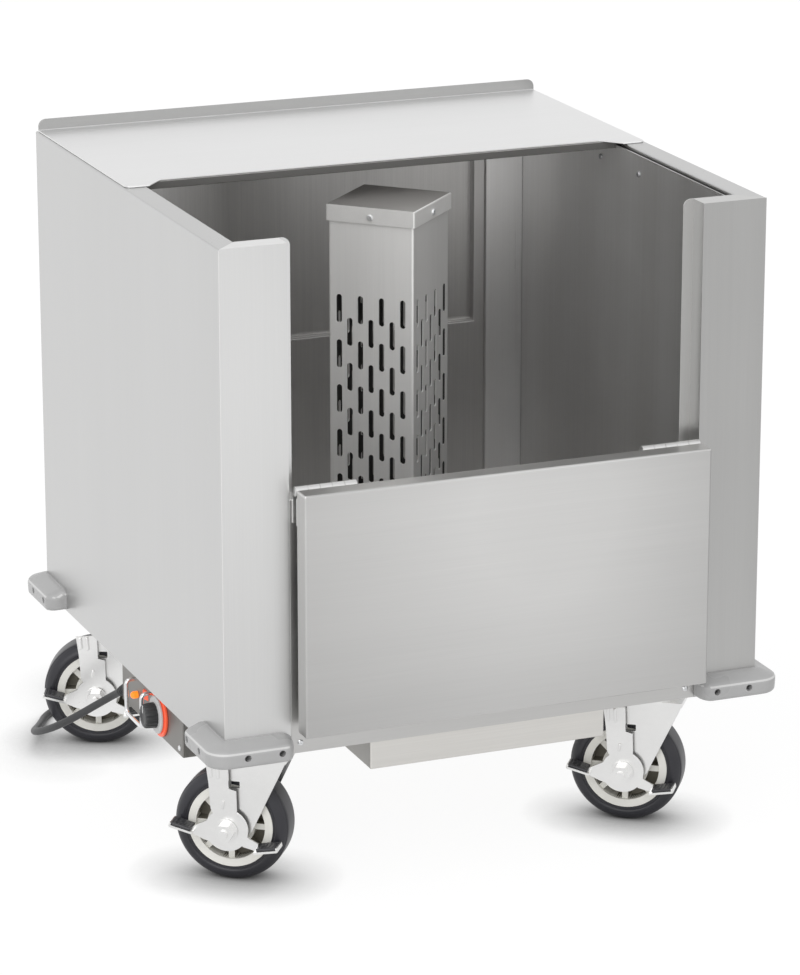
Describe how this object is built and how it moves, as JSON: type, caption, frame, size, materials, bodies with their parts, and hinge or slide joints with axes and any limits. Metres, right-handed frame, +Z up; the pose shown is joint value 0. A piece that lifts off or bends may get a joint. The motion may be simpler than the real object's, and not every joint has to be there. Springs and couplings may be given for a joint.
{
  "type": "heated banquet cabinet",
  "caption": "Low mobile heated banquet cart with an open double-walled well, air column, drop-down front flap, sliding lid and braked casters.",
  "frame": {"origin": "on the floor under the middle of the cart, with the flap hanging and without the cord", "axes": "+Z up, +X to the cart's right seen from its front, +Y to its back"},
  "size_m": [0.708, 0.8352, 0.7548],
  "materials": {
    "panel_steel": "fine brushed stainless sheet, satin",
    "liner_steel": "darker satin stainless sheet",
    "mill_steel": "dull aluminised sheet",
    "zinc_steel": "bright zinc plate",
    "chrome_wire": "polished chrome",
    "bumper_plastic": "matte grey rubber",
    "core_plastic": "cream moulded plastic",
    "tyre_rubber": "dark grey satin rubber",
    "black_plastic": "black moulded plastic",
    "orange_plastic": "orange red plastic",
    "lamp_lens": "clear orange lens",
    "cord_rubber": "black rubber jacket",
    "insulation_wool": "pressed mineral wool",
    "heater_metal": "heat stained sheath",
    "motor_metal": "dark enamel"
  },
  "bodies": {
    "root": {"left_side_panel": "panel_steel", "right_side_panel": "panel_steel", "left_front_post": "panel_steel", "right_front_post": "panel_steel", "back_panel": "panel_steel", "rear_deck": "panel_steel", "front_panel": "panel_steel", "column_cap": "panel_steel", "left_liner": "liner_steel", "right_liner": "liner_steel", "back_liner": "liner_steel", "well_floor_plate": "liner_steel", "front_liner": "liner_steel", "air_column": "liner_steel", "base_pan": "mill_steel", "heater_box": "mill_steel", "control_box": "mill_steel", "column_screws": "zinc_steel", "body_screws": "zinc_steel", "hinge_fixed_leaves": "zinc_steel", "caster_plates": "zinc_steel", "caster_bolts": "zinc_steel", "wall_insulation": "insulation_wool", "heating_element": "heater_metal", "blower_motor": "motor_metal", "thermostat_bezel": "orange_plastic", "pilot_lamp": "lamp_lens", "control_internals": "black_plastic", "control_guard": "chrome_wire", "strain_relief": "black_plastic", "cord": "cord_rubber", "cord_coil": "cord_rubber", "plug": "black_plastic", "corner_bumpers": "bumper_plastic"},
    "fork_front_left": {"fork_front_left": "zinc_steel"},
    "wheel_front_left": {"wheel_core_front_left": "core_plastic", "tyre_front_left": "tyre_rubber"},
    "brake_front_left": {"brake_front_left": "zinc_steel"},
    "fork_front_right": {"fork_front_right": "zinc_steel"},
    "wheel_front_right": {"wheel_core_front_right": "core_plastic", "tyre_front_right": "tyre_rubber"},
    "brake_front_right": {"brake_front_right": "zinc_steel"},
    "fork_rear_left": {"fork_rear_left": "zinc_steel"},
    "wheel_rear_left": {"wheel_core_rear_left": "core_plastic", "tyre_rear_left": "tyre_rubber"},
    "brake_rear_left": {"brake_rear_left": "zinc_steel"},
    "fork_rear_right": {"fork_rear_right": "zinc_steel"},
    "wheel_rear_right": {"wheel_core_rear_right": "core_plastic", "tyre_rear_right": "tyre_rubber"},
    "brake_rear_right": {"brake_rear_right": "zinc_steel"},
    "flap": {"flap_shell": "panel_steel", "flap_inner_panel": "panel_steel", "flap_core": "insulation_wool", "hinge_moving_leaves": "zinc_steel"},
    "lid": {"lid": "panel_steel"},
    "thermostat_dial": {"thermostat_dial": "black_plastic"},
    "rocker_switch": {"rocker_switch": "orange_plastic"},
    "blower_wheel": {"blower_wheel": "mill_steel"}
  },
  "joints": [
    {"name": "swivel_front_left", "type": "hinge", "parent": "root", "child": "fork_front_left", "pos_m": [-0.24, -0.23, 0.15], "axis": [0, 0, 1], "continuous": true},
    {"name": "roll_front_left", "type": "hinge", "parent": "fork_front_left", "child": "wheel_front_left", "pos_m": [-0.27074, -0.20766, 0.065], "axis": [-0.5878, -0.809, 0], "continuous": true},
    {"name": "pedal_front_left", "type": "hinge", "parent": "fork_front_left", "child": "brake_front_left", "pos_m": [-0.27074, -0.20766, 0.065], "axis": [-0.5878, -0.809, 0], "range_deg": [0, 12]},
    {"name": "swivel_front_right", "type": "hinge", "parent": "root", "child": "fork_front_right", "pos_m": [0.24, -0.23, 0.15], "axis": [0, 0, 1], "continuous": true},
    {"name": "roll_front_right", "type": "hinge", "parent": "fork_front_right", "child": "wheel_front_right", "pos_m": [0.20926, -0.20766, 0.065], "axis": [-0.5878, -0.809, 0], "continuous": true},
    {"name": "pedal_front_right", "type": "hinge", "parent": "fork_front_right", "child": "brake_front_right", "pos_m": [0.20926, -0.20766, 0.065], "axis": [-0.5878, -0.809, 0], "range_deg": [0, 12]},
    {"name": "swivel_rear_left", "type": "hinge", "parent": "root", "child": "fork_rear_left", "pos_m": [-0.24, 0.245, 0.15], "axis": [0, 0, 1], "continuous": true},
    {"name": "roll_rear_left", "type": "hinge", "parent": "fork_rear_left", "child": "wheel_rear_left", "pos_m": [-0.27471, 0.26046, 0.065], "axis": [-0.4067, -0.9135, 0], "continuous": true},
    {"name": "pedal_rear_left", "type": "hinge", "parent": "fork_rear_left", "child": "brake_rear_left", "pos_m": [-0.27471, 0.26046, 0.065], "axis": [-0.4067, -0.9135, 0], "range_deg": [0, 12]},
    {"name": "swivel_rear_right", "type": "hinge", "parent": "root", "child": "fork_rear_right", "pos_m": [0.24, 0.245, 0.15], "axis": [0, 0, 1], "continuous": true},
    {"name": "roll_rear_right", "type": "hinge", "parent": "fork_rear_right", "child": "wheel_rear_right", "pos_m": [0.20645, 0.26284, 0.065], "axis": [-0.4695, -0.8829, 0], "continuous": true},
    {"name": "pedal_rear_right", "type": "hinge", "parent": "fork_rear_right", "child": "brake_rear_right", "pos_m": [0.20645, 0.26284, 0.065], "axis": [-0.4695, -0.8829, 0], "range_deg": [0, 12]},
    {"name": "flap_hinge", "type": "hinge", "parent": "root", "child": "flap", "pos_m": [0, -0.31425, 0.4705], "axis": [-1, 0, 0], "range_deg": [0, 180]},
    {"name": "lid_slide", "type": "slide", "parent": "root", "child": "lid", "axis": [0, -1, 0], "range_m": [0, 0.3]},
    {"name": "dial_turn", "type": "hinge", "parent": "root", "child": "thermostat_dial", "pos_m": [-0.2975, -0.0355, 0.134], "axis": [-1, 0, 0], "range_deg": [0, 270]},
    {"name": "rocker_tilt", "type": "hinge", "parent": "root", "child": "rocker_switch", "pos_m": [-0.2945, 0.0155, 0.14], "axis": [0, 0, 1], "range_deg": [0, 20]},
    {"name": "blower_spin", "type": "hinge", "parent": "root", "child": "blower_wheel", "pos_m": [0, 0.0075, 0.172], "axis": [0, 0, 1], "continuous": true}
  ]
}
